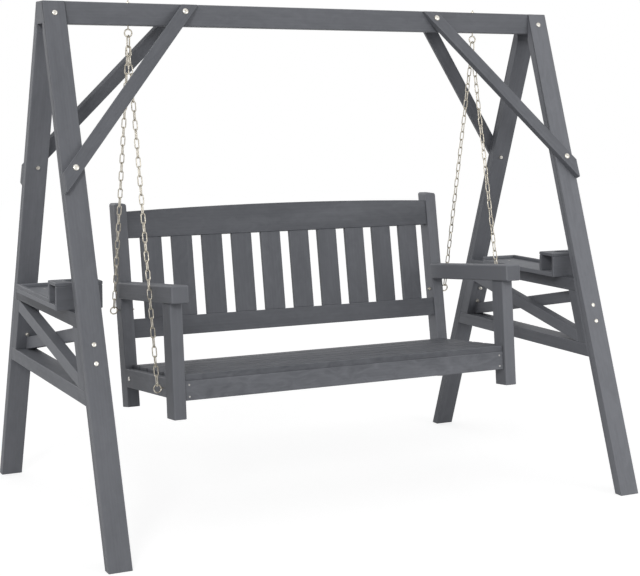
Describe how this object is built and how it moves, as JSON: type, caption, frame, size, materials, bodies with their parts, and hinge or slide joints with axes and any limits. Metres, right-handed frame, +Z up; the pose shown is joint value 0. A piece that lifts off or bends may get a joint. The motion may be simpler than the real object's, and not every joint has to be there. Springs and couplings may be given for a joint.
{
  "type": "garden swing",
  "caption": "Slatted bench hung on chains from a timber A-frame with knee braces; each side panel carries a tray with a cup holder, and the seat swings front to back.",
  "frame": {"origin": "on the ground, below the middle of the beam, midway between the four feet", "axes": "+X along the beam to the sitter's left, -Y to the front that the seat faces, +Z up"},
  "size_m": [2.078, 1.325, 1.761],
  "materials": {
    "timber": "grey stained softwood, matt, with open grain",
    "zinc": "yellow zinc plate on chain, eyes and screws"
  },
  "bodies": {
    "stand": {"beam_eyes": "zinc", "brace_screws": "zinc", "cup_top_left": "timber", "cup_top_right": "timber", "cup_walls_left": "timber", "cup_walls_right": "timber", "diagonal_front_high_left": "timber", "diagonal_front_high_right": "timber", "diagonal_rear_high_left": "timber", "diagonal_rear_high_right": "timber", "knee_brace_front_left": "timber", "knee_brace_front_right": "timber", "knee_brace_rear_left": "timber", "knee_brace_rear_right": "timber", "leg_front_left": "timber", "leg_front_right": "timber", "leg_rear_left": "timber", "leg_rear_right": "timber", "leg_screws": "zinc", "lower_rail_left": "timber", "lower_rail_right": "timber", "panel_bolts": "zinc", "stile_front_left": "timber", "stile_front_right": "timber", "stile_rear_left": "timber", "stile_rear_right": "timber", "top_beam": "timber", "tray_floor_left": "timber", "tray_floor_right": "timber", "tray_rim_left": "timber", "tray_rim_right": "timber", "upper_rail_left": "timber", "upper_rail_right": "timber"},
    "bench": {"armrest_left": "timber", "armrest_right": "timber", "back_lower_rail": "timber", "back_slats": "timber", "back_top_rail": "timber", "chain_connectors": "zinc", "chain_front_left": "zinc", "chain_front_right": "zinc", "chain_rear_left": "zinc", "chain_rear_right": "zinc", "front_apron": "timber", "front_post_left": "timber", "front_post_right": "timber", "rear_apron": "timber", "rear_post_left": "timber", "rear_post_right": "timber", "seat_bearer_left": "timber", "seat_bearer_right": "timber", "seat_eyes": "zinc", "seat_slat_1": "timber", "seat_slat_2": "timber", "seat_slat_3": "timber", "seat_slat_4": "timber", "seat_slat_5": "timber", "seat_slat_6": "timber", "side_apron_left": "timber", "side_apron_right": "timber"}
  },
  "joints": [
    {"name": "swing", "type": "hinge", "parent": "stand", "child": "bench", "pos_m": [0, 0, 1.6365], "axis": [1, 0, 0], "range_deg": [-20, 20]}
  ]
}
